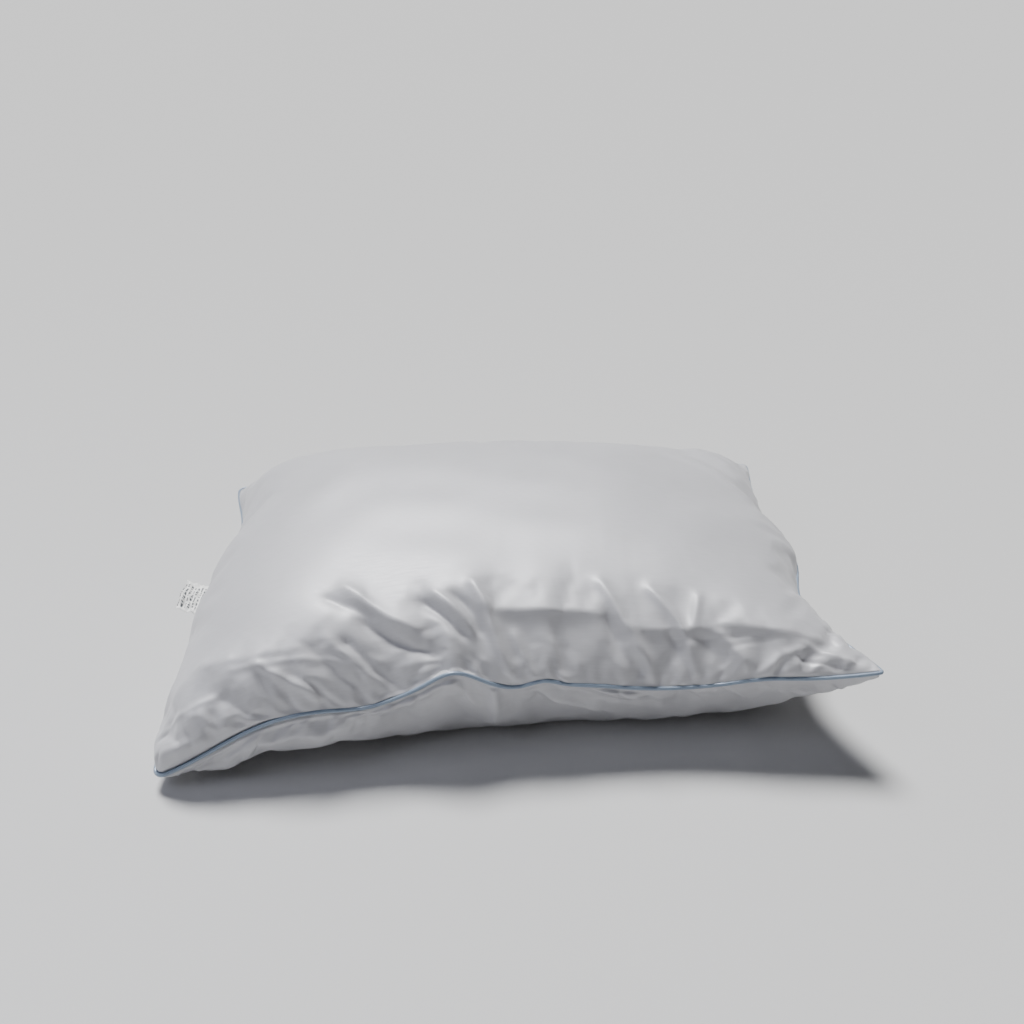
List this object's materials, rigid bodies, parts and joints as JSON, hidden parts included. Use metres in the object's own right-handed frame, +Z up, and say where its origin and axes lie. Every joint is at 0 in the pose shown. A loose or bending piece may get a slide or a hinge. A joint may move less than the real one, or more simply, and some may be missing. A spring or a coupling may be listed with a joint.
{
  "type": "bed pillow",
  "caption": "Filled rectangular bed pillow in silver-grey sateen with slate-blue piping round the seam and white sewn-in labels on one short side.",
  "frame": {"origin": "on the resting face of the bottom panel, under the middle of the seam's outline", "axes": "+X along the long side, with the labels' side at -X; +Y towards the back long side; +Z up"},
  "size_m": [0.6827, 0.4643, 0.172],
  "materials": {
    "sateen": "soft-sheen sateen weave, silver grey",
    "piping": "bias-cut sateen, pale slate blue",
    "cord": "soft twisted cotton filler cord",
    "fill": "blown polyester fibre",
    "thread": "spun polyester sewing thread",
    "label_tape": "white satin label tape"
  },
  "bodies": {
    "pillow": {"top_panel": "sateen", "bottom_panel": "sateen", "piping_cover": "piping", "piping_cord": "cord", "fibre_fill": "fill", "seam_needle_thread": "thread", "seam_bobbin_thread": "thread", "closing_seam_thread": "thread", "overlock_thread": "thread"},
    "labels": {"care_label": "label_tape", "content_label": "label_tape"}
  },
  "joints": [
    {"name": "label_flap", "type": "hinge", "parent": "pillow", "child": "labels", "pos_m": [-0.32646, -0.0238, 0.06356], "axis": [0.0277, 0.9917, 0.1259], "range_deg": [-30, 70]}
  ]
}
